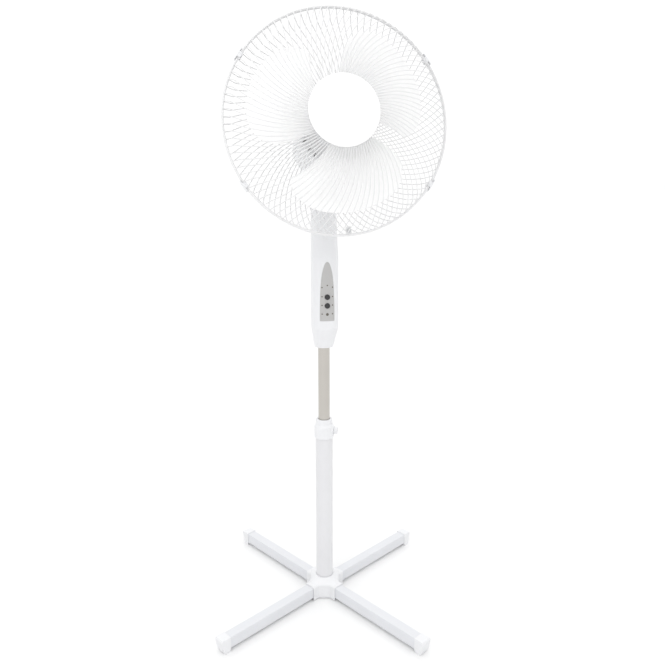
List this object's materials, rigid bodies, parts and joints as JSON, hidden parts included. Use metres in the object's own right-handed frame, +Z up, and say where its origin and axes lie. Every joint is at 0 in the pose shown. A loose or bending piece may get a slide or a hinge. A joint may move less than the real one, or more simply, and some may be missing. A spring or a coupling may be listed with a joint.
{
  "type": "pedestal fan",
  "caption": "White pedestal fan with a round wire guard, wide petal blade, control housing, telescopic pole and cross base; height, tilt and swing adjust.",
  "frame": {"origin": "on the floor under the pole, at the middle of the cross base", "axes": "+Z up along the pole, -Y the way the fan blows, +X to the right of someone facing the fan"},
  "size_m": [0.5122, 0.5122, 1.2419],
  "materials": {
    "white_tube": "gloss powder coat",
    "white_bar": "gloss powder coat",
    "white_plastic": "satin moulded polypropylene",
    "natural_plastic": "unpainted nylon",
    "chrome_tube": "bright plated, fine drawn lines",
    "grey_panel": "silver-grey satin",
    "dark_button": "dark satin",
    "board_green": "glass-fibre board",
    "clear_lens": "tinted light guide",
    "black_plastic": "black nylon",
    "zinc_steel": "zinc plated",
    "cast_aluminium": "as cast",
    "core_steel": "laminated steel",
    "copper_wire": "enamelled copper wire",
    "bearing_bronze": "sintered bronze",
    "white_wire": "white epoxy coat",
    "blade_plastic": "glossy moulded polypropylene",
    "badge_plastic": "glossy, plain",
    "plate_grey": "blank film"
  },
  "bodies": {
    "root": {"cross_bar_lower": "white_bar", "cross_bar_upper": "white_bar", "end_cap_1": "white_plastic", "end_cap_2": "white_plastic", "end_cap_3": "white_plastic", "end_cap_4": "white_plastic", "hub_cover": "white_plastic", "base_bolt": "zinc_steel", "pole_plug": "natural_plastic", "outer_tube": "white_tube", "collar_bush": "natural_plastic", "height_collar": "white_plastic"},
    "clamp_knob": {"clamp_knob": "white_plastic"},
    "upper_stand": {"inner_tube": "chrome_tube", "tube_guide": "natural_plastic", "control_panel": "grey_panel", "housing_front": "white_plastic", "housing_rear": "white_plastic", "control_board": "board_green", "tact_switches": "dark_button", "indicator_lenses": "clear_lens", "receiver_window": "clear_lens", "housing_screws": "zinc_steel", "cord_grommet": "black_plastic", "neck_bracket": "white_plastic", "tilt_nut": "zinc_steel"},
    "button_upper": {"button_upper": "dark_button"},
    "button_lower": {"button_lower": "dark_button"},
    "tilt_knob": {"tilt_knob": "white_plastic"},
    "tilt_arm": {"tilt_arm": "white_plastic"},
    "head": {"gear_case": "cast_aluminium", "gear_lid": "cast_aluminium", "motor_frame_front": "cast_aluminium", "motor_frame_rear": "cast_aluminium", "stator_core": "core_steel", "stator_windings": "copper_wire", "shaft_bearings": "bearing_bronze", "motor_bolts": "zinc_steel", "motor_cover_front": "white_plastic", "motor_cover_rear": "white_plastic", "rear_guard_wires": "white_wire", "rear_guard_rim": "white_wire", "rear_guard_plate": "white_wire", "guard_nut": "white_plastic", "front_guard_wires": "white_wire", "front_guard_rings": "white_wire", "badge_disc": "badge_plastic", "badge_clamp": "white_plastic", "guard_clips": "white_plastic", "guard_screw": "zinc_steel", "rating_plate": "plate_grey"},
    "swing_knob": {"swing_knob": "white_plastic"},
    "worm_wheel": {"worm_wheel": "black_plastic"},
    "crank": {"crank": "zinc_steel"},
    "crank_link": {"crank_link": "zinc_steel"},
    "blade_spin": {"blade": "blade_plastic", "spinner_nut": "blade_plastic", "motor_shaft": "zinc_steel", "rotor": "cast_aluminium", "worm": "zinc_steel"}
  },
  "joints": [
    {"name": "height_slide", "type": "slide", "parent": "root", "child": "upper_stand", "axis": [0, 0, 1], "range_m": [-0.15, 0.06]},
    {"name": "clamp_knob_turn", "type": "hinge", "parent": "root", "child": "clamp_knob", "pos_m": [0, 0, 0.4051], "axis": [0.8862, -0.4633, 0], "range_deg": [-180, 180]},
    {"name": "button_upper_press", "type": "slide", "parent": "upper_stand", "child": "button_upper", "axis": [0, 1, 0], "range_m": [0, 0.0015], "stiffness_N_per_m": 400},
    {"name": "button_lower_press", "type": "slide", "parent": "upper_stand", "child": "button_lower", "axis": [0, 1, 0], "range_m": [0, 0.0015], "stiffness_N_per_m": 400},
    {"name": "tilt_knob_turn", "type": "hinge", "parent": "upper_stand", "child": "tilt_knob", "pos_m": [0, 0, 0.925], "axis": [1, 0, 0], "range_deg": [-180, 180]},
    {"name": "head_tilt", "type": "hinge", "parent": "upper_stand", "child": "tilt_arm", "pos_m": [0, 0, 0.925], "axis": [-1, 0, 0], "range_deg": [-18, 8]},
    {"name": "head_swing", "type": "hinge", "parent": "tilt_arm", "child": "head", "pos_m": [0, 0, 0.925], "axis": [0, 0.2198, 0.9755], "range_deg": [-37, 37]},
    {"name": "swing_knob_pull", "type": "slide", "parent": "head", "child": "swing_knob", "axis": [0, 0.2198, 0.9755], "range_m": [0, 0.005]},
    {"name": "crank_turn", "type": "hinge", "parent": "head", "child": "crank", "pos_m": [0.016, 0.02341, 0.91972], "axis": [0, 0.2198, 0.9755], "range_deg": [-58, 58]},
    {"name": "link_swing", "type": "hinge", "parent": "crank", "child": "crank_link", "pos_m": [0.01224, 0.03182, 0.91783], "axis": [0, 0.2198, 0.9755], "range_deg": [-59, 59]},
    {"name": "blade_turn", "type": "hinge", "parent": "head", "child": "blade_spin", "pos_m": [0, 0.01855, 1.00734], "axis": [0, -0.9755, 0.2198], "continuous": true},
    {"name": "worm_wheel_turn", "type": "hinge", "parent": "head", "child": "worm_wheel", "pos_m": [0.016, 0.04197, 1.00206], "axis": [0, 0.2198, 0.9755], "continuous": true}
  ],
  "couplings": [
    {"joint": "crank_turn", "follows": "head_swing", "ratio": -1.545},
    {"joint": "link_swing", "follows": "head_swing", "ratio": 1.572},
    {"joint": "worm_wheel_turn", "follows": "blade_turn", "ratio": -0.041667}
  ]
}
